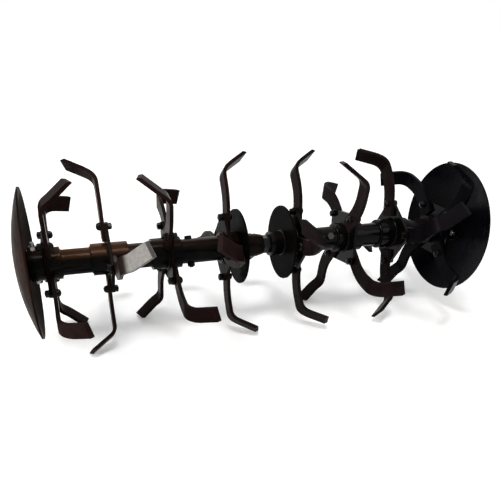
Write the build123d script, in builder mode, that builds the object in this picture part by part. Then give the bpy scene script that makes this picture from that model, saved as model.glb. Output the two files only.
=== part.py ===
"""Tine rotor of a rotary tiller: two mirrored halves on a hexagonal drive bar, 32 bolted L-shaped blades.

Frame: millimetres, origin in the middle of the rotor axis, +X along the axis to the right end, +Z up.
The rotor lies at rest on the tips of its blades. A turn is an angle round the axis in degrees: 0 is +Z
and 90 is -Y. Places along the axis are counted from the middle of the rotor, the same on both halves.
"""

import os
from collections import namedtuple
from math import cos, radians, sin

from build123d import *

os.makedirs("parts", exist_ok=True)

# --- driving dimensions, millimetres and degrees ---------------------------------------
FIT = 0.15  # radial clearance of every fit on the axis

HEX_ACROSS_FLATS = 32.0  # drive bar that joins the halves
HEX_GRIP = 176.0  # length of the bar inside each tube
HEX_END_CHAMFER = 2.0
HEX_BOLT_EDGE = 46.0  # from the end of the bar to its lock bolt

TUBE_D = 48.0  # main tube of each half
TUBE_START = 19.0
TUBE_OVERHANG = 1.0  # from the outermost sleeve to the end of the tube
SLEEVE_RISE = 6.0  # how far the sleeves that carry the plates stand out from the tube

SPACER_D = 46.0  # loose ring on the bar between the halves
SPACER_LENGTH = 23.0
SPACER_TAPER = 14.0  # length of its cone
SPACER_TIP_WALL = 1.0  # its wall at the small end

FIRST_STATION = 78.0  # place of the first row of blades
STATION_PITCH = 115.0

PLATE_SIDE = 104.0  # square carrier plate, its corners point along the blades
PLATE_T = 6.0
PLATE_CORNER_CUT = 9.0

BLADE_W = 30.0
BLADE_T = 7.0
BLADE_ROOT_R = 36.0  # inner end of the leg, from the axis
BLADE_SWEEP_START = 73.0  # where the leg leaves its straight line, from the axis
BLADE_SWEEP = 31.0  # angle by which the leg curves back in its own plane
BLADE_SWEEP_R = 90.0  # at mid-width
BLADE_BEND_RUN = 15.0  # straight from that curve to the bend
BLADE_BEND = 55.0  # angle of the bend, its line square to the strip
BLADE_BEND_R = 26.0  # on the outside of the bend
BLADE_TIP_SWEEP = 19.0  # angle by which the tip curves back in its own plane
BLADE_TIP_SWEEP_R = 45.0  # at mid-width
BLADE_TIP_RUN = 38.0  # straight end of the tip
BLADE_BEVEL = 5.0  # ground off the outer face at the end of the tip

FLANGE_D = 148.0  # round guard plate near the inner end of each half
FLANGE_T = 4.0
FLANGE_INSET = 28.0  # from the end of the tube

DISC_D = 276.0  # dished plant guard at each end
DISC_T = 3.0
DISC_DEPTH = 26.0  # from the rim to the flat seat
DISC_SEAT_D = 70.0

STUB_GRIP = 60.0  # length of the disc's stub inside the tube
STUB_BORE_D = 24.0
STUB_SHOULDER_D = 56.0
STUB_SHOULDER_LENGTH = 20.0  # from the end of the tube to the disc

BOLT_D = 8.0  # lock bolts
BOLT_HOLE_D = 8.5
BOLT_HEAD_AF = 13.0
BOLT_HEAD_H = 5.3
BOLT_NUT_H = 6.5
BAR_BOLT_SPARE = 2.0  # thread that stands out of the nut
STUB_BOLT_REACH = 12.0  # from the outer end of the tube
STUB_BOLT_SPARE = 7.0

# One row of blades on each line, from the middle of the rotor outwards: the turn of its first blade in
# either half; the bend of its four blades, +1 outwards and -1 to the middle; the reach of its sleeve from
# the plate's mid-plane, to the middle and outwards.
Station = namedtuple("Station", "left_turn right_turn bends sleeve_inward sleeve_outward")
STATIONS = [
    Station(84.0, 169.0, (+1, -1, +1, -1), 26.0, 9.0),
    Station(39.0, 126.0, (+1, -1, +1, -1), 24.0, 34.0),
    Station(84.0, 166.0, (-1, +1, -1, +1), 36.0, 33.0),
    Station(39.0, 133.0, (-1, -1, -1, -1), 26.0, 31.0),
]
# The two halves of the rotor: direction of X, turns of the heads of the bar bolt and the stub bolt.
Half = namedtuple("Half", "name side bar_bolt_turn stub_bolt_turn")
HALVES = [
    Half("left", -1, -30.0, 180.0),
    Half("right", +1, 60.0, 270.0),
]

# --- derived sizes -----------------------------------------------------------------------
HEX_CORNERS = HEX_ACROSS_FLATS / cos(radians(30))
HEX_LENGTH = 2 * (TUBE_START + HEX_GRIP)
TUBE_BORE_D = HEX_CORNERS + 2 * FIT
STUB_D = TUBE_BORE_D - 2 * FIT
SLEEVE_BORE_D = TUBE_D + 2 * FIT
SLEEVE_D = TUBE_D + 2 * SLEEVE_RISE
PLATE_BORE_D = SLEEVE_D + 2 * FIT
SPACER_BORE_D = HEX_CORNERS + 2 * FIT
TUBE_END = FIRST_STATION + (len(STATIONS) - 1) * STATION_PITCH + STATIONS[-1].sleeve_outward + TUBE_OVERHANG
FLANGE_X = TUBE_START + FLANGE_INSET
BAR_BOLT_X = TUBE_START + HEX_GRIP - HEX_BOLT_EDGE
STUB_BOLT_X = TUBE_END - STUB_BOLT_REACH
DISC_SEAT_X = TUBE_END + STUB_SHOULDER_LENGTH
DISC_RIM_X = DISC_SEAT_X - DISC_DEPTH
# The hollow face of a disc is part of a sphere, centred on the axis, through its rim and its seat.
DISH_CENTRE_X = DISC_RIM_X + (DISC_DEPTH**2 + (DISC_SEAT_D**2 - DISC_D**2) / 4) / (2 * DISC_DEPTH)
DISH_R = ((DISC_RIM_X - DISH_CENTRE_X) ** 2 + (DISC_D / 2) ** 2) ** 0.5


def radial(turn):
    """Unit vector square to the axis."""
    return Vector(0, -sin(radians(turn)), cos(radians(turn)))


def cross_plane(x, turn=0.0):
    """Plane square to the axis, its normal +X and its local X along a turn."""
    return Plane(origin=(x, 0, 0), x_dir=radial(turn), z_dir=(1, 0, 0))


def bolt_plane(x, turn, out=0.0):
    """Plane at a distance out from the axis, its normal along a turn."""
    return Plane(origin=Vector(x, 0, 0) + radial(turn) * out, x_dir=(1, 0, 0), z_dir=radial(turn))


def station_x(index):
    """Place of a row's plate, at mid-thickness."""
    return FIRST_STATION + index * STATION_PITCH


def span(side, near, far):
    """Lower end and length along +X of a stretch of one half."""
    return min(side * near, side * far), far - near


def save(piece, name):
    """Labels a finished piece and writes it as its own node."""
    piece.part.label = name
    export_step(piece.part, f"parts/{name}.step")


# --- drive bar and spacer ----------------------------------------------------------------
with BuildPart() as drive_bar:
    with BuildSketch(cross_plane(-HEX_LENGTH / 2)):
        RegularPolygon(HEX_ACROSS_FLATS / 2, 6, major_radius=False, rotation=30)
    extrude(amount=HEX_LENGTH)
    chamfer(drive_bar.faces().filter_by(Axis.X).edges(), HEX_END_CHAMFER)
    for half in HALVES:
        with BuildSketch(bolt_plane(half.side * BAR_BOLT_X, half.bar_bolt_turn)):
            Circle(BOLT_HOLE_D / 2)
        extrude(amount=HEX_CORNERS, both=True, mode=Mode.SUBTRACT)
save(drive_bar, "drive_bar")

with BuildPart() as spacer:
    with BuildSketch(cross_plane(-TUBE_START)):
        Circle(SPACER_D / 2)
        Circle(SPACER_BORE_D / 2, mode=Mode.SUBTRACT)
    extrude(amount=SPACER_LENGTH)
    end_face = spacer.faces().sort_by(Axis.X)[-1]
    outer_rim = end_face.edges().sort_by(SortBy.RADIUS)[-1]
    cut = (SPACER_D - SPACER_BORE_D) / 2 - SPACER_TIP_WALL
    chamfer(outer_rim, cut, SPACER_TAPER, reference=end_face)
save(spacer, "spacer")


def make_tube(side, bar_turn, stub_turn):
    """Main tube with the cross holes of its two lock bolts."""
    start, length = span(side, TUBE_START, TUBE_END)
    with BuildPart() as tube:
        with BuildSketch(cross_plane(start)):
            Circle(TUBE_D / 2)
            Circle(TUBE_BORE_D / 2, mode=Mode.SUBTRACT)
        extrude(amount=length)
        for x, turn in ((BAR_BOLT_X, bar_turn), (STUB_BOLT_X, stub_turn)):
            with BuildSketch(bolt_plane(side * x, turn)):
                Circle(BOLT_HOLE_D / 2)
            extrude(amount=TUBE_D, both=True, mode=Mode.SUBTRACT)
    return tube


def make_sleeves(side, stub_turn):
    """The sleeves of one half, a separate ring at each row, the outermost drilled for the stub bolt."""
    with BuildPart() as sleeves:
        for index, station in enumerate(STATIONS):
            x = station_x(index)
            start, length = span(side, x - station.sleeve_inward, x + station.sleeve_outward)
            with BuildSketch(cross_plane(start)):
                Circle(SLEEVE_D / 2)
                Circle(SLEEVE_BORE_D / 2, mode=Mode.SUBTRACT)
            extrude(amount=length)
        with BuildSketch(bolt_plane(side * STUB_BOLT_X, stub_turn)):
            Circle(BOLT_HOLE_D / 2)
        extrude(amount=SLEEVE_D, both=True, mode=Mode.SUBTRACT)
    return sleeves


def make_plate(x, roll):
    """Square carrier plate round a sleeve, its cut corners under the blades."""
    with BuildPart() as plate:
        with BuildSketch(cross_plane(x - PLATE_T / 2, roll)):
            outline = Rectangle(PLATE_SIDE, PLATE_SIDE, rotation=45)
            chamfer(outline.vertices(), PLATE_CORNER_CUT)
            Circle(PLATE_BORE_D / 2, mode=Mode.SUBTRACT)
        extrude(amount=PLATE_T)
    return plate


def make_blade(x, direction, turn):
    """L-shaped blade: a flat leg that curves back, a bend across it, and a flat tip that curves back too."""
    back = -direction
    leg = Plane(origin=(x + direction * PLATE_T / 2, 0, 0), x_dir=radial(turn), z_dir=(direction, 0, 0))
    with BuildPart() as blade:
        with BuildSketch(leg):
            with BuildLine():
                straight = Line((BLADE_ROOT_R, 0), (BLADE_SWEEP_START, 0))
                curve = JernArc(straight @ 1, straight % 1, BLADE_SWEEP_R, back * BLADE_SWEEP)
                run = Line(curve @ 1, curve @ 1 + (curve % 1) * BLADE_BEND_RUN)
            trace(line_width=BLADE_W)
        extrude(amount=BLADE_T)
        # Frames at both ends of the bend: X along the strip, Z into the bend.
        bend_at = run @ 1
        bend_start = leg.location * Location((bend_at.X, bend_at.Y, 0), (0, 0, back * BLADE_SWEEP))
        pivot = Location((0, 0, BLADE_BEND_R))
        bend_end = bend_start * pivot * Location((0, 0, 0), (0, -BLADE_BEND, 0)) * pivot.inverse()
        start, tip = Plane(bend_start), Plane(bend_end)
        with BuildSketch(Plane(start.origin, start.x_dir, -start.y_dir)):
            with BuildLine():
                outside = CenterArc((0, BLADE_BEND_R), BLADE_BEND_R, -90, BLADE_BEND)
                offset(outside, amount=BLADE_T, side=Side.LEFT)
            make_face()
        extrude(amount=BLADE_W / 2, both=True)
        with BuildSketch(tip):
            with BuildLine():
                tip_curve = JernArc((0, 0), (1, 0), BLADE_TIP_SWEEP_R, back * BLADE_TIP_SWEEP)
                Line(tip_curve @ 1, tip_curve @ 1 + (tip_curve % 1) * BLADE_TIP_RUN)
            trace(line_width=BLADE_W)
        extrude(amount=BLADE_T)
        end_face = blade.faces().sort_by(Axis(tip.origin, tip.x_dir))[-1]
        chamfer(end_face.edges().sort_by(Axis(tip.origin, tip.z_dir))[0], BLADE_BEVEL)
    return blade


def make_flange(side):
    """Round guard plate near the inner end of a tube."""
    start, length = span(side, FLANGE_X, FLANGE_X + FLANGE_T)
    with BuildPart() as flange:
        with BuildSketch(cross_plane(start)):
            Circle(FLANGE_D / 2)
            Circle(SLEEVE_BORE_D / 2, mode=Mode.SUBTRACT)
        extrude(amount=length)
    return flange


def dish_point(side, sphere_r, height):
    """Point of a dish face, in the plane through the axis, at a height over the axis."""
    return side * (DISH_CENTRE_X + (sphere_r**2 - height**2) ** 0.5), height


def make_disc(side):
    """Dished end disc, its hollow side to the blades, with a flat seat in the middle."""
    rim, seat = DISC_D / 2, DISC_SEAT_D / 2
    between = (rim + seat) / 2
    with BuildPart() as disc:
        with BuildSketch(Plane.XZ):
            with BuildLine():
                hollow = ThreePointArc([dish_point(side, DISH_R, h) for h in (seat, between, rim)])
                back = ThreePointArc([dish_point(side, DISH_R + DISC_T, h) for h in (seat, between, rim)])
                Line(hollow @ 1, back @ 1)
                Polyline(hollow @ 0, ((hollow @ 0).X, 0), ((back @ 0).X, 0), back @ 0)
            make_face()
        revolve(axis=Axis.X)
    return disc


def make_stub(side, stub_turn):
    """Stub of an end disc: a shoulder between disc and tube, and a spigot locked in the tube."""
    spigot_start, spigot_length = span(side, TUBE_END - STUB_GRIP, TUBE_END)
    shoulder_start, shoulder_length = span(side, TUBE_END, DISC_SEAT_X)
    with BuildPart() as stub:
        with BuildSketch(cross_plane(spigot_start)):
            Circle(STUB_D / 2)
        extrude(amount=spigot_length)
        with BuildSketch(cross_plane(shoulder_start)):
            Circle(STUB_SHOULDER_D / 2)
        extrude(amount=shoulder_length)
        with BuildSketch(cross_plane(spigot_start if side > 0 else shoulder_start)):
            Circle(STUB_BORE_D / 2)
        extrude(amount=spigot_length + shoulder_length, mode=Mode.SUBTRACT)
        with BuildSketch(bolt_plane(side * STUB_BOLT_X, stub_turn)):
            Circle(BOLT_HOLE_D / 2)
        extrude(amount=STUB_D, both=True, mode=Mode.SUBTRACT)
    return stub


def make_bolt(x, turn, carrier_d, spare):
    """Lock bolt across the axis: hexagonal head and nut on a round carrier, and its shank."""
    seat = carrier_d / 2
    with BuildPart() as bolt:
        with BuildSketch(bolt_plane(x, turn, seat)):
            RegularPolygon(BOLT_HEAD_AF / 2, 6, major_radius=False)
        extrude(amount=BOLT_HEAD_H)
        with BuildSketch(bolt_plane(x, turn, -seat)):
            RegularPolygon(BOLT_HEAD_AF / 2, 6, major_radius=False)
        extrude(amount=-BOLT_NUT_H)
        with BuildSketch(bolt_plane(x, turn, -seat - BOLT_NUT_H - spare)):
            Circle(BOLT_D / 2)
        extrude(amount=2 * seat + BOLT_NUT_H + spare)
    return bolt


# --- both halves -------------------------------------------------------------------------
for half in HALVES:
    name, side = half.name, half.side
    save(make_tube(side, half.bar_bolt_turn, half.stub_bolt_turn), f"{name}_tube")
    save(make_sleeves(side, half.stub_bolt_turn), f"{name}_sleeves")
    save(make_flange(side), f"{name}_flange")
    save(make_disc(side), f"{name}_disc")
    save(make_stub(side, half.stub_bolt_turn), f"{name}_disc_stub")
    save(make_bolt(side * BAR_BOLT_X, half.bar_bolt_turn, TUBE_D, BAR_BOLT_SPARE), f"{name}_bar_bolt")
    save(make_bolt(side * STUB_BOLT_X, half.stub_bolt_turn, SLEEVE_D, STUB_BOLT_SPARE), f"{name}_stub_bolt")
    for index, station in enumerate(STATIONS):
        x = side * station_x(index)
        row = index + 1
        turn = station.left_turn if name == "left" else station.right_turn
        save(make_plate(x, turn), f"{name}_plate_{row}")
        arm_pitch = 360 / len(station.bends)
        for k, bend in enumerate(station.bends):
            save(make_blade(x, side * bend, turn + arm_pitch * k), f"{name}_blade_{row}{'abcd'[k]}")
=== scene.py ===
"""Looks of a tiller's tine rotor: black enamel, weld beads, blade bolts, zinc stub bolts and a white floor.

Metres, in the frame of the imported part: +X along the rotor's axis, +Z up, origin in the middle of the axis.
Angles round the axis start at +Z, and 90 degrees is -Y, towards the camera.
"""

import math
from collections import namedtuple

import bmesh
import bpy
from mathutils import Matrix, Vector, noise


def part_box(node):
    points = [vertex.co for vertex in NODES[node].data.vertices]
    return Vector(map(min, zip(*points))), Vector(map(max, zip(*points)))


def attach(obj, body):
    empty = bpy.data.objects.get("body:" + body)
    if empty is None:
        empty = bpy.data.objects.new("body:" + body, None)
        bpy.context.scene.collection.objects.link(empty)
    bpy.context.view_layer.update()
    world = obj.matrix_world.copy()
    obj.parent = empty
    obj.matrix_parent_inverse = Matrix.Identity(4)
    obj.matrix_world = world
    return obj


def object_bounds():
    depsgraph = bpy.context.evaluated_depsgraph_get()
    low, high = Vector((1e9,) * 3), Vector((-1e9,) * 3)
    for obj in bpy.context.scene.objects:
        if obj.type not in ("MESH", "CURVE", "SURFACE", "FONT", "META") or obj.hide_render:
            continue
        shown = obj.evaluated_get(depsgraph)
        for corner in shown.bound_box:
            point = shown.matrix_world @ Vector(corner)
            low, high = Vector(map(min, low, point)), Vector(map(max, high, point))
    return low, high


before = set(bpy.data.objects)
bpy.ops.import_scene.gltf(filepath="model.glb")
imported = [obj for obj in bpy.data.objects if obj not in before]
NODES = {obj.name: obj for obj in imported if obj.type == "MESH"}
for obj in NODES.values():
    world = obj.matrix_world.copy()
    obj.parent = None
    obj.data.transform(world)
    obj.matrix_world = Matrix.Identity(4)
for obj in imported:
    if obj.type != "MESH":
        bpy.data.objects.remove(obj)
cad_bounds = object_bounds()

# --- sizes and places, metres ------------------------------------------------------------
SIDES = {"left": -1, "right": +1}  # direction of each half along X, from the middle
ROWS = (1, 2, 3, 4)
ARMS = "abcd"

# The part's own sizes, where the weld beads sit.
TUBE_R = 0.024
SLEEVE_R = 0.030
STUB_R = 0.028  # shoulder of the disc's stub
# Reach of the sleeve of each row from the mid-plane of its plate, to the middle and outwards.
SLEEVE_REACH = ((0.026, 0.009), (0.024, 0.034), (0.036, 0.033), (0.026, 0.031))

LEG_TOP_R = 0.070  # a blade's leg is straight below this
BOLT_PLACE = 0.0610  # blade bolts, from the axis
BOLT_HEAD_R = 0.0072
BOLT_HEAD_H = 0.0070
BOLT_RIM = 0.25  # straight rim of the head, of its height
BOLT_THREAD_R = 0.0040
BOLT_SPARE = 0.0010  # thread that stands out of the nut
BOLT_TAPER = 0.8  # radius at the end of the thread, of its own
NUT_FLATS = 0.012
NUT_H = 0.0065
NUT_SPIN = 1.7  # radians from one nut of a row to the next, so that they don't stand alike
NUT_LAND = 0.94  # flat ring on a nut's faces, of half its width over the flats
NUT_TURNED = 0.45  # how far the corners are turned down, of their height over that ring
WASHER_R = 0.0078
WASHER_T = 0.0012
WASHER_EDGE = 0.25  # broken edge, of its thickness
ROUND_SIDES = 24  # heads and nuts; a multiple of 12, so that a nut's corners are points of the ring
DOME_STEPS = 6  # from the rim to the top
WASHER_SIDES = 28
THREAD_SIDES = 16

BEAD = 0.0026  # half-width of a weld bead
TUBE_BEAD = BEAD * 0.8  # at the ends of the sleeves
BEAD_STEPS = 132  # round the axis
BEAD_SIDES = 8
BEAD_RIPPLES = 44  # round the axis
BEAD_RIPPLE = 0.10  # height of a ripple, of the bead's half-width
BEAD_LUMP = 0.22  # the same for the slower swell
BEAD_LUMP_SCALE = 3
BEAD_DRIFT = 0.25  # the same for its wandering along the axis
BEAD_DRIFT_SCALE = 2

EDGE_ROUND = 0.0005
ROUND_ANGLE = math.radians(40)  # sharper edges are rounded
SMOOTH_ANGLE = math.radians(32)  # flatter edges are shaded smooth

# --- paint -----------------------------------------------------------------------------------
# Patterns: scale, detail, roughness and, where it isn't even, the share of the scale along X, Y and Z.
THIN_PATTERN = (9.0, 4.0, 0.6)
FILM_PATTERN = (34.0, 6.0, 0.65, (0.5, 1.0, 1.0))
STREAK_PATTERN = (60.0, 5.0, 0.6, (1.0, 0.35, 0.35))
POLISH_PATTERN = (190.0, 5.0, 0.75)
GRAIN_PATTERN = (420.0, 2.0, 0.5)
PEEL_PATTERN = (26.0, 2.0, 0.4)
DULL_PATTERN = (160.0, 4.0, 0.6)
ZINC_PATTERN = (900.0, 3.0, 0.6)
FLOOR_PATTERN = (2.0, 2.0)

FILM = (0.008, 0.006, 0.005)  # dust film on enamel that faces up
PAINTED_WARM_REFLECTION = (0.058, 0.021, 0.007)  # painted reflection in place of the dust film on the left tube and its sleeves: a golden band of warm light on what faces up
PAINTED_SHADE_TINT = (0.004, 0.004, 0.006)  # painted shade: a bluish film in place of the dust film on the right disc and the blades near it, standing in for the shade they lie in
# The film masks below shape the dust film and, alike, the painted reflection and painted shade tint that take
# its place.
FILM_RANGE = (0.25, 0.60, 0.45, 1.0)  # of its pattern, and the share of film that this gives
FILM_SLOPE = (0.50, 0.72)  # upward part of a face's normal, from where the film starts to where it is full
FILM_OUTSIDE = 0.12  # share of the film beyond its span
PAINTED_REFLECTION_SPAN = (-0.408, -0.398, -0.285, -0.255)  # X where the painted reflection starts, is full, fades and ends
POLISH_SPAN = (-0.297, -0.289)  # X where the polish of a tip starts and where it is full
POLISH_RANGE = (0.38, 0.62, 0.66, 1.0)  # of its pattern, and the weight of the polish that this gives
POLISH_IOR = 1.52
POLISH_ROUGHNESS = 0.30
THIN_RANGE = (0.42, 0.68)  # of its pattern, from the deep colour to the brown
STREAK_RANGE = (0.3, 0.7)  # of its pattern, from the smoothest paint to the roughest
SMOOTHER = 0.07  # how far the streaks take the roughness down and up
ROUGHER = 0.10
PEEL_OVER_GRAIN = 15  # how many times deeper the orange peel is than the fine grain
PEEL_STRENGTH = 0.5
ZINC_BRIGHT = (0.46, 0.46, 0.45)
ZINC_DULL = (0.26, 0.26, 0.25)
ZINC_ROUGHNESS = (0.22, 0.42)  # where it is bright and where it is dull
ZINC_RANGE = (0.35, 0.7)  # of its pattern, from bright to dull
ZINC_GRAIN = 0.00003  # depth, metres
FLOOR_COLOURS = ((0.86, 0.86, 0.86), (0.88, 0.88, 0.88))
FLOOR_ROUGHNESS = 0.9

# --- camera and light ----------------------------------------------------------------------
CAMERA_AT = Vector((-0.3836, -0.9707, 0.3963))
CAMERA_LOOK = Vector((0.2508, 0.7799, -0.5735))
CAMERA_RIGHT = Vector((0.9565, -0.2910, 0.0227))
FOCAL_PX = 521.2
FRAME_PX = 500
SENSOR = 36.0  # millimetres
SHIFT_X = 0.0539
SHIFT_Y = 0.250
SIGHT = 100  # the camera sees no farther

FLOOR_REACH = 30  # from its middle to its edges
LIFT_NEAR = 0.22  # added to the floor's own light where it is seen, under the rotor and far from it
LIFT_FAR = 0.66
LIFT_SPAN = (0.6, 3.5)  # distances from the origin, between which the lift grows
WORLD_LIGHT = 0.45  # strength of the surroundings, as light
WORLD_SEEN = 1.0  # and where they are seen

Lamp = namedtuple("Lamp", "name at look size power colour", defaults=((1.0, 1.0, 1.0),))
LAMPS = (
    Lamp("side", (-1.55, -0.48, 0.86), (-0.25, -0.15, 0.07), 0.9, 26, (1.0, 0.95, 0.88)),
    Lamp("top", (-0.2, -0.5, 2.4), (0, 0, 0), 0.7, 34),
    Lamp("fill", (1.6, -1.4, 1.4), (0, 0, 0), 1.2, 8),
    Lamp("back", (0.3, 1.9, 1.6), (0, 0, 0), 1.2, 10),
)


# --- node helpers --------------------------------------------------------------------------
class Nodes:
    """A node tree, with short calls for the few nodes used here."""

    def __init__(self, tree):
        self.tree = tree

    def add(self, kind, **settings):
        node = self.tree.nodes.new(kind)
        for key, value in settings.items():
            setattr(node, key, value)
        return node

    def link(self, source, target):
        self.tree.links.new(source, target)

    def combine(self, operation, first, second):
        node = self.add("ShaderNodeMath", operation=operation)
        self.link(first, node.inputs[0])
        self.link(second, node.inputs[1])
        return node.outputs[0]

    def remap(self, value, low, high, to_low=0.0, to_high=1.0):
        node = self.add("ShaderNodeMapRange")
        for key, number in zip(("From Min", "From Max", "To Min", "To Max"), (low, high, to_low, to_high)):
            node.inputs[key].default_value = number
        self.link(value, node.inputs["Value"])
        return node.outputs["Result"]

    def part_of(self, vector, axis):
        """One coordinate of a vector."""
        split = self.add("ShaderNodeSeparateXYZ")
        self.link(vector, split.inputs["Vector"])
        return split.outputs[axis]


class Shader(Nodes):
    """The node tree of a new material."""

    def __init__(self, name):
        self.material = bpy.data.materials.new(name)
        self.material.use_nodes = True
        super().__init__(self.material.node_tree)
        self.bsdf = self.tree.nodes["Principled BSDF"]
        self.place = self.add("ShaderNodeTexCoord").outputs["Object"]

    def drive(self, socket, value):
        """Set an input of the surface, from a link or to a plain value."""
        if isinstance(value, bpy.types.NodeSocket):
            self.link(value, self.bsdf.inputs[socket])
        else:
            self.bsdf.inputs[socket].default_value = value

    def noise(self, scale, detail=3.0, rough=0.5, shares=(1, 1, 1)):
        spread = self.add("ShaderNodeMapping")
        spread.inputs["Scale"].default_value = shares
        self.link(self.place, spread.inputs["Vector"])
        node = self.add("ShaderNodeTexNoise")
        node.inputs["Scale"].default_value = scale
        node.inputs["Detail"].default_value = detail
        node.inputs["Roughness"].default_value = rough
        self.link(spread.outputs["Vector"], node.inputs["Vector"])
        return node.outputs["Fac"]

    def mix(self, factor, first, second):
        node = self.add("ShaderNodeMix", data_type="RGBA")
        self.link(factor, node.inputs["Factor"])
        # Sockets 6 and 7 are the node's two colours, and output 2 is its result as a colour.
        for socket, colour in ((node.inputs[6], first), (node.inputs[7], second)):
            if isinstance(colour, tuple):
                socket.default_value = (*colour, 1.0)
            else:
                self.link(colour, socket)
        return node.outputs[2]

    def bump(self, height, depth, strength=1.0, under=None):
        node = self.add("ShaderNodeBump")
        node.inputs["Strength"].default_value = strength
        node.inputs["Distance"].default_value = depth
        self.link(height, node.inputs["Height"])
        if under is not None:
            self.link(under, node.inputs["Normal"])
        return node.outputs["Normal"]

    def up_facing(self):
        """How much a face looks up, from 0 to 1."""
        normal = self.add("ShaderNodeNewGeometry").outputs["Normal"]
        return self.remap(self.part_of(normal, "Z"), 0.0, 1.0)


# --- materials -------------------------------------------------------------------------------
def film_and_painted_light_share(s, cover, span):
    """How much of the top colour lies on a place: in patches, on what faces up, and mostly inside the span.
    The top colour is a dust film on most enamels, a painted reflection on the left frame and a painted shade
    tint on the right disc and the blades near it.
    """
    patches = s.remap(s.noise(*FILM_PATTERN), *FILM_RANGE)
    film = s.combine("MULTIPLY", patches, s.remap(s.up_facing(), *FILM_SLOPE))
    share = s.remap(film, 0.0, 1.0, 0.0, cover)
    if span is None:
        return share
    start, full, fading, end = span
    x = s.part_of(s.place, "X")
    within = s.combine("MULTIPLY", s.remap(x, start, full), s.remap(x, fading, end, 1.0, 0.0))
    return s.combine("MULTIPLY", share, s.remap(within, 0.0, 1.0, FILM_OUTSIDE, 1.0))


def polish(s, start, full):
    """A clear skin beyond a place along X, mottled, as the soil polishes a tip."""
    beyond = s.remap(s.part_of(s.place, "X"), start, full)
    mottle = s.remap(s.noise(*POLISH_PATTERN), *POLISH_RANGE)
    s.drive("Coat Weight", s.combine("MULTIPLY", beyond, mottle))
    s.drive("Coat IOR", POLISH_IOR)
    s.drive("Coat Roughness", POLISH_ROUGHNESS)


def enamel(
    name,
    deep,
    brown,
    roughness,
    gloss,
    top=FILM,
    cover=0.5,
    wave=0.0006,
    span=None,
    shine=None,
):
    """Black enamel that was sprayed on: brown where it is thin, orange peel, and a film on what faces up.

    The gloss is its IOR. The film on what faces up is dust, unless top gives a painted reflection or a
    painted shade tint. A span keeps the film to a part of the rotor's length, and a shine is the span of a
    polished tip.
    """
    s = Shader(name)
    thin = s.remap(s.noise(*THIN_PATTERN), *THIN_RANGE)
    s.drive("Base Color", s.mix(film_and_painted_light_share(s, cover, span), s.mix(thin, deep, brown), top))
    streak = s.noise(*STREAK_PATTERN)
    s.drive("Roughness", s.remap(streak, *STREAK_RANGE, roughness - SMOOTHER, roughness + ROUGHER))
    s.drive("IOR", gloss)
    if shine:
        polish(s, *shine)
    grain = s.bump(s.noise(*GRAIN_PATTERN), wave / PEEL_OVER_GRAIN)
    s.drive("Normal", s.bump(s.noise(*PEEL_PATTERN), wave, PEEL_STRENGTH, grain))
    return s.material


def zinc(name):
    """Zinc plating, bright with dull patches."""
    s = Shader(name)
    dull = s.remap(s.noise(*DULL_PATTERN), *ZINC_RANGE)
    s.drive("Base Color", s.mix(dull, ZINC_BRIGHT, ZINC_DULL))
    s.drive("Metallic", 1.0)
    s.drive("Roughness", s.remap(dull, 0.0, 1.0, *ZINC_ROUGHNESS))
    s.drive("Normal", s.bump(s.noise(*ZINC_PATTERN), ZINC_GRAIN))
    return s.material


def floor_white(name):
    """White floor that keeps the rotor's shadow, lifted where it is seen, straight or in a reflection."""
    s = Shader(name)
    s.drive("Base Color", s.mix(s.noise(*FLOOR_PATTERN), *FLOOR_COLOURS))
    s.drive("Roughness", FLOOR_ROUGHNESS)
    s.drive("Emission Color", (1, 1, 1, 1))
    path = s.add("ShaderNodeLightPath")
    seen = s.combine("MAXIMUM", path.outputs["Is Camera Ray"], path.outputs["Is Glossy Ray"])
    away = s.add("ShaderNodeVectorMath", operation="LENGTH")
    s.link(s.place, away.inputs[0])
    lift = s.remap(away.outputs["Value"], *LIFT_SPAN, LIFT_NEAR, LIFT_FAR)
    s.drive("Emission Strength", s.combine("MULTIPLY", lift, seen))
    return s.material


# --- mesh helpers --------------------------------------------------------------------------
def piece(name, mesh, material):
    """A new object of the scene from a bmesh, smooth, with its finish, riding on the rotor."""
    data = bpy.data.meshes.new(name)
    bmesh.ops.recalc_face_normals(mesh, faces=mesh.faces)
    mesh.to_mesh(data)
    mesh.free()
    data.materials.append(material)
    obj = bpy.data.objects.new(name, data)
    bpy.context.scene.collection.objects.link(obj)
    for polygon in data.polygons:
        polygon.use_smooth = True
    data.set_sharp_from_angle(angle=SMOOTH_ANGLE)
    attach(obj, "root")
    return obj


def lathe(mesh, place, rings, count, shape=None):
    """Skin through rings of (distance along local Z, radius), closed by a fan at each end of radius 0.

    A shape gives each point's own radius and distance, from its angle and its ring's.
    """
    loops = []
    for height, radius in rings:
        if radius == 0:
            loops.append([mesh.verts.new(place @ Vector((0, 0, height)))])
            continue
        loop = []
        for step in range(count):
            angle = 2 * math.pi * step / count
            r, h = (radius, height) if shape is None else shape(angle, radius, height)
            loop.append(mesh.verts.new(place @ Vector((r * math.cos(angle), r * math.sin(angle), h))))
        loops.append(loop)
    for low, high in zip(loops, loops[1:]):
        for step in range(count):
            after = (step + 1) % count
            corners = [low[step % len(low)], low[after % len(low)]]
            corners += [high[after % len(high)], high[step % len(high)]]
            corners = list(dict.fromkeys(corners))
            if len(corners) > 2:
                mesh.faces.new(corners)


def nut(mesh, place, flats, height):
    """Hexagonal nut with turned corners, standing on the local XY plane."""
    apothem = flats / 2
    land = apothem * NUT_LAND
    full = apothem * 1.2  # past the corners: corner() brings these rings in to the hexagon

    def corner(angle, radius, level):
        if radius <= apothem:
            return radius, level
        off = (angle + math.pi / 6) % (math.pi / 3) - math.pi / 6
        flat_r = apothem / math.cos(off)
        drop = (flat_r - land) * NUT_TURNED
        return flat_r, level - drop if level > 0 else drop

    rings = [(0, 0), (0, land), (0, full), (height, full), (height, land), (height, 0)]
    lathe(mesh, place, rings, ROUND_SIDES, corner)


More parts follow.
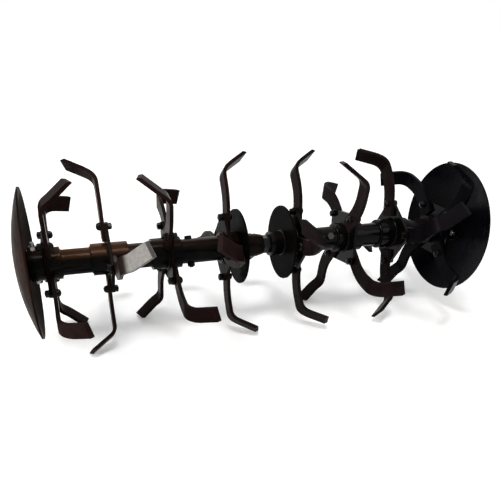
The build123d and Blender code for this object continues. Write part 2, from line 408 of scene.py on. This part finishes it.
def dome(mesh, place, radius, height):
    """Round head of a carriage bolt, a low dome on a short rim."""
    rim = height * BOLT_RIM
    rings = [(0, 0), (0, radius), (rim, radius)]
    for step in range(1, DOME_STEPS):
        angle = math.pi / 2 * step / DOME_STEPS
        rings.append((rim + (height - rim) * math.sin(angle), radius * math.cos(angle)))
    lathe(mesh, place, rings + [(height, 0)], ROUND_SIDES)


def washer(mesh, place, outer, inner, thick):
    """Flat ring, its outer edges broken."""
    edge = thick * WASHER_EDGE
    low = [(0, inner), (0, outer - edge), (edge, outer)]
    high = [(thick - edge, outer), (thick, outer - edge), (thick, inner)]
    lathe(mesh, place, low + high, WASHER_SIDES)


def thread_end(mesh, place, radius, length):
    """The tapered end of a bolt."""
    lathe(mesh, place, [(0, radius), (length, radius * BOLT_TAPER), (length, 0)], THREAD_SIDES)


def bolt_frame(at, direction, spin=0.0):
    """Local frame at a point, its Z along a direction."""
    turn = direction.to_track_quat("Z", "Y").to_matrix().to_4x4()
    return Matrix.Translation(at) @ turn @ Matrix.Rotation(spin, 4, "Z")


# --- fasteners -------------------------------------------------------------------------------
def leg_of(blade):
    """A blade's radial direction, and the two faces of its leg along X."""
    leg = [v.co for v in blade.data.vertices if math.hypot(v.co.y, v.co.z) < LEG_TOP_R]
    middle = sum(leg, Vector()) / len(leg)
    out = Vector((0, middle.y, middle.z)).normalized()
    xs = [p.x for p in leg]
    return out, min(xs), max(xs)


def blade_bolts(half, row, material):
    """The bolt of each blade of a row, through the blade's leg and its plate."""
    mesh = bmesh.new()
    plate_low, plate_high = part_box(f"{half}_plate_{row}")
    for number, arm in enumerate(ARMS):
        out, leg_low, leg_high = leg_of(NODES[f"{half}_blade_{row}{arm}"])
        leg_after = leg_high > plate_high.x
        near, far = (leg_high, plate_low.x) if leg_after else (leg_low, plate_high.x)
        way = Vector((1, 0, 0)) if leg_after else Vector((-1, 0, 0))
        spin = NUT_SPIN * number + row
        head_at = out * BOLT_PLACE + Vector((near, 0, 0))
        nut_at = out * BOLT_PLACE + Vector((far, 0, 0))
        washer(mesh, bolt_frame(head_at, way), WASHER_R, BOLT_THREAD_R, WASHER_T)
        dome(mesh, bolt_frame(head_at + way * WASHER_T, way), BOLT_HEAD_R, BOLT_HEAD_H)
        nut_base = nut_at - way * WASHER_T
        washer(mesh, bolt_frame(nut_at, -way), WASHER_R, BOLT_THREAD_R, WASHER_T)
        nut(mesh, bolt_frame(nut_base, -way, -spin), NUT_FLATS, NUT_H)
        thread_end(mesh, bolt_frame(nut_base - way * NUT_H, -way), BOLT_THREAD_R, BOLT_SPARE)
    return piece(f"blade_bolts_{half}_{row}", mesh, material)


# --- welds -------------------------------------------------------------------------------------
def weld_ring(mesh, x, radius, seed, bead=BEAD):
    """A rippled bead round the axis, in the corner between a ring and what it stands on."""
    lump_row = seed * 7.3  # where in the noise this bead's two patterns are read
    drift_row = seed * 3.1 + 9
    grid = []
    for step in range(BEAD_STEPS):
        angle = 2 * math.pi * step / BEAD_STEPS
        across, up = math.sin(angle), math.cos(angle)
        lump = noise.noise(Vector((up * BEAD_LUMP_SCALE, across * BEAD_LUMP_SCALE, lump_row)))
        ripple = BEAD_RIPPLE * math.sin(angle * BEAD_RIPPLES + 2 * lump)
        size = bead * (1.0 + ripple + BEAD_LUMP * lump)
        wander = noise.noise(Vector((up * BEAD_DRIFT_SCALE, across * BEAD_DRIFT_SCALE, drift_row)))
        drift = bead * BEAD_DRIFT * wander
        ring = []
        for side in range(BEAD_SIDES):
            around = 2 * math.pi * side / BEAD_SIDES
            along = x + drift + size * math.sin(around)
            r = radius + size * math.cos(around)
            ring.append(mesh.verts.new((along, -r * across, r * up)))
        grid.append(ring)
    for step in range(BEAD_STEPS):
        here, after = grid[step], grid[(step + 1) % BEAD_STEPS]
        for side in range(BEAD_SIDES):
            other = (side + 1) % BEAD_SIDES
            mesh.faces.new((here[side], after[side], after[other], here[other]))


def half_welds(half, side, material):
    """The beads of one half, at its sleeves, plates, flange and disc, no two with the same seed."""
    mesh = bmesh.new()
    for row in ROWS:
        low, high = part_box(f"{half}_plate_{row}")
        weld_ring(mesh, low.x, SLEEVE_R, row + 0.3 + side)
        weld_ring(mesh, high.x, SLEEVE_R, row + 0.7 + side)
        inward, outward = SLEEVE_REACH[row - 1]
        middle = (low.x + high.x) / 2
        weld_ring(mesh, middle - side * inward, TUBE_R, row + 6.1 + side, TUBE_BEAD)
        weld_ring(mesh, middle + side * outward, TUBE_R, row + 6.6 + side, TUBE_BEAD)
    low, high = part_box(f"{half}_flange")
    weld_ring(mesh, low.x, TUBE_R, 5.3 + side)
    weld_ring(mesh, high.x, TUBE_R, 5.7 + side)
    low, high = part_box(f"{half}_disc_stub")
    weld_ring(mesh, high.x if side > 0 else low.x, STUB_R, 12.4 + side)
    return piece(f"welds_{half}", mesh, material)


# --- finish ------------------------------------------------------------------------------------
# The left frame's film is a painted reflection: a golden band of warm light on the upward faces of the left
# tube, its sleeves and their welds.
frame_left = enamel(
    "frame_enamel_left",
    (0.001, 0.001, 0.001),
    (0.006, 0.004, 0.003),
    0.16,
    1.10,
    top=PAINTED_WARM_REFLECTION,
    cover=0.9,
    span=PAINTED_REFLECTION_SPAN,
)
plate_left = enamel("plate_enamel_left", (0.002, 0.001, 0.001), (0.007, 0.004, 0.003), 0.26, 1.045)
frame_right = enamel("frame_enamel_right", (0.001, 0.001, 0.001), (0.002, 0.002, 0.002), 0.13, 1.15)
blade_left = enamel("blade_enamel_left", (0.007, 0.003, 0.003), (0.017, 0.009, 0.008), 0.28, 1.05)
blade_right = enamel("blade_enamel_right", (0.005, 0.003, 0.003), (0.015, 0.009, 0.010), 0.28, 1.055)
# Painted shade: a darker, bluish copy of the right blades' enamel for the blades near the right disc,
# standing in for the shade they lie in.
blade_painted_shade = enamel("blade_enamel_painted_shade", (0.001, 0.001, 0.002), (0.005, 0.004, 0.005), 0.26, 1.07, PAINTED_SHADE_TINT)
blade_shiny = enamel(
    "blade_enamel_shiny",
    (0.010, 0.007, 0.006),
    (0.022, 0.014, 0.012),
    0.34,
    1.14,
    wave=0.0001,
    shine=POLISH_SPAN,
)
disc_left = enamel("disc_enamel_left", (0.006, 0.003, 0.002), (0.014, 0.006, 0.004), 0.30, 1.025)
# Painted shade: the right disc is darker and bluer than the left one, standing in for the shade it lies in.
disc_right_painted_shade = enamel("disc_enamel_right_painted_shade", (0.001, 0.001, 0.002), (0.003, 0.003, 0.005), 0.28, 1.09, PAINTED_SHADE_TINT)
guard_paint = enamel("guard_enamel", (0.001, 0.001, 0.001), (0.003, 0.002, 0.002), 0.28, 1.035, cover=0.3)
bolt_paint = enamel("bolt_enamel", (0.001, 0.001, 0.001), (0.003, 0.002, 0.002), 0.16, 1.20)
bolt_sparkle = enamel("bolt_enamel_bright", (0.001, 0.001, 0.001), (0.004, 0.003, 0.003), 0.16, 1.34)
bar_paint = enamel("bar_enamel", (0.002, 0.002, 0.002), (0.006, 0.005, 0.005), 0.28, 1.25)
bolt_zinc = zinc("bolt_zinc")


def finish_of(name):
    """The material of a node of the part."""
    on_left = name.startswith(("left", "spacer"))
    if name == "left_blade_3a":
        return blade_shiny
    # The blades near the right disc take the painted-shade copy of the enamel.
    if name == "right_blade_3d" or name.startswith("right_blade_4"):
        return blade_painted_shade
    if "blade" in name:
        return blade_left if on_left else blade_right
    if name.endswith("_disc"):
        # The right disc takes its painted-shade enamel.
        return disc_left if on_left else disc_right_painted_shade
    if name.endswith("_flange"):
        return guard_paint
    if name.startswith("left_plate"):
        return plate_left
    if name.endswith("_bar_bolt"):
        return bolt_paint if on_left else bolt_sparkle
    if name.endswith("_stub_bolt"):
        return bolt_zinc
    if name == "drive_bar":
        return bar_paint
    return frame_left if on_left else frame_right


for name, node in NODES.items():
    node.data.materials.clear()
    node.data.materials.append(finish_of(name))
    rounding = node.modifiers.new("edge_round", "BEVEL")
    rounding.width = EDGE_ROUND
    rounding.segments = 2
    rounding.limit_method = "ANGLE"
    rounding.angle_limit = ROUND_ANGLE
    rounding.harden_normals = True

for half in SIDES:
    for row in ROWS:
        blade_bolts(half, row, bolt_paint)

for half, side in SIDES.items():
    half_welds(half, side, frame_left if half == "left" else frame_right)


# --- floor, light, camera ------------------------------------------------------------------------
def make_floor():
    mesh = bmesh.new()
    bmesh.ops.create_grid(mesh, x_segments=2, y_segments=2, size=FLOOR_REACH)
    data = bpy.data.meshes.new("floor")
    mesh.to_mesh(data)
    mesh.free()
    data.materials.append(floor_white("floor_white"))
    floor = bpy.data.objects.new("floor", data)
    floor.location.z = cad_bounds[0][2]
    bpy.context.scene.collection.objects.link(floor)


def make_world():
    """Grey light all round, seen as white by the camera, in reflections and through what is clear."""
    world = bpy.data.worlds.new("world")
    bpy.context.scene.world = world
    world.use_nodes = True
    s = Nodes(world.node_tree)
    path = s.add("ShaderNodeLightPath")
    seen = s.combine("MAXIMUM", path.outputs["Is Camera Ray"], path.outputs["Is Glossy Ray"])
    seen = s.combine("MAXIMUM", seen, path.outputs["Is Transmission Ray"])
    background = s.tree.nodes["Background"]
    s.link(s.remap(seen, 0.0, 1.0, WORLD_LIGHT, WORLD_SEEN), background.inputs["Strength"])
    background.inputs["Color"].default_value = (1, 1, 1, 1)


def make_light(name, at, look, size, power, colour):
    lamp = bpy.data.lights.new(name, "AREA")
    lamp.size = size
    lamp.energy = power
    lamp.color = colour
    obj = bpy.data.objects.new(name, lamp)
    obj.location = at
    obj.rotation_euler = (Vector(look) - Vector(at)).to_track_quat("-Z", "Y").to_euler()
    bpy.context.scene.collection.objects.link(obj)


def make_camera():
    camera = bpy.data.cameras.new("camera")
    camera.sensor_width = SENSOR
    camera.lens = FOCAL_PX / FRAME_PX * SENSOR
    camera.shift_x = SHIFT_X
    camera.shift_y = SHIFT_Y
    camera.clip_end = SIGHT
    obj = bpy.data.objects.new("camera", camera)
    back = -CAMERA_LOOK.normalized()
    right = (CAMERA_RIGHT - back * CAMERA_RIGHT.dot(back)).normalized()
    up = back.cross(right)
    turn = Matrix((right, up, back)).transposed().to_4x4()
    obj.matrix_world = Matrix.Translation(CAMERA_AT) @ turn
    bpy.context.scene.collection.objects.link(obj)
    bpy.context.scene.camera = obj


make_floor()
make_world()
for lamp in LAMPS:
    make_light(*lamp)
make_camera()
bpy.context.scene.view_settings.view_transform = "Standard"
